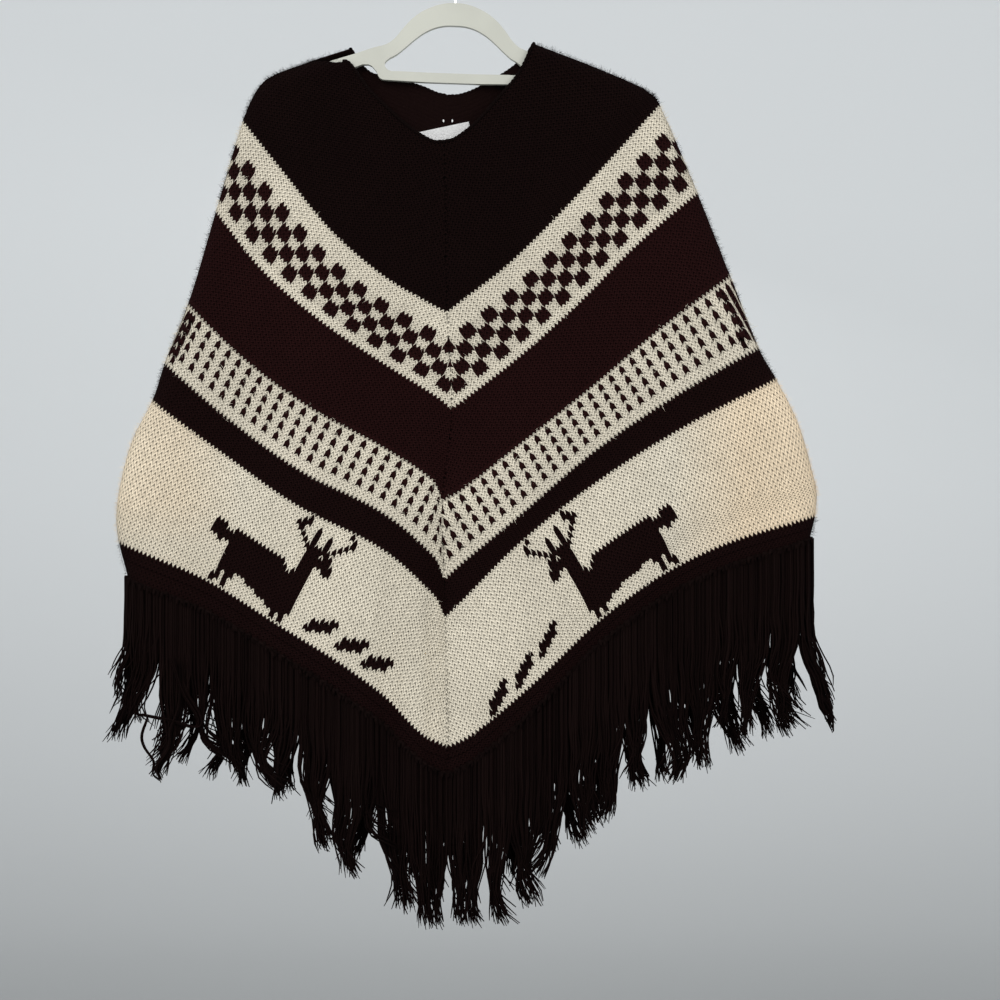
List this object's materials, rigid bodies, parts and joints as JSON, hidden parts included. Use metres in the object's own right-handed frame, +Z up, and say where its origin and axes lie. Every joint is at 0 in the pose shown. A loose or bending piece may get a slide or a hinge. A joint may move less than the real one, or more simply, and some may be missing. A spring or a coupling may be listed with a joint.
{
  "type": "knitted andean poncho on a hanger",
  "caption": "Hip-length V-shaped wool poncho, dark brown with cream checked, dotted and deer bands and a long yarn fringe, hanging on a flat plastic hanger.",
  "frame": {"origin": "inner top of the hanger's hook, where it rests on a rail", "axes": "+Z up, the garment's front faces -Y, +X to the right of someone looking at the front"},
  "size_m": [0.7817, 0.0529, 1.093],
  "materials": {
    "panel_knit": "soft brushed wool knit, near-black brown with cream figures",
    "edging_wool": "dark crocheted wool",
    "fringe_yarn": "dark two-ply wool yarn",
    "label_cloth": "white woven ribbon",
    "hanger_plastic": "satin ivory",
    "hook_wire": "bright plated steel"
  },
  "bodies": {
    "root": {"front_panel": "panel_knit", "back_panel": "panel_knit", "front_hem_edging": "edging_wool", "back_hem_edging": "edging_wool", "front_fringe": "fringe_yarn", "back_fringe": "fringe_yarn", "neck_label": "label_cloth", "hanger_body": "hanger_plastic", "hanger_hook": "hook_wire"}
  },
  "joints": []
}
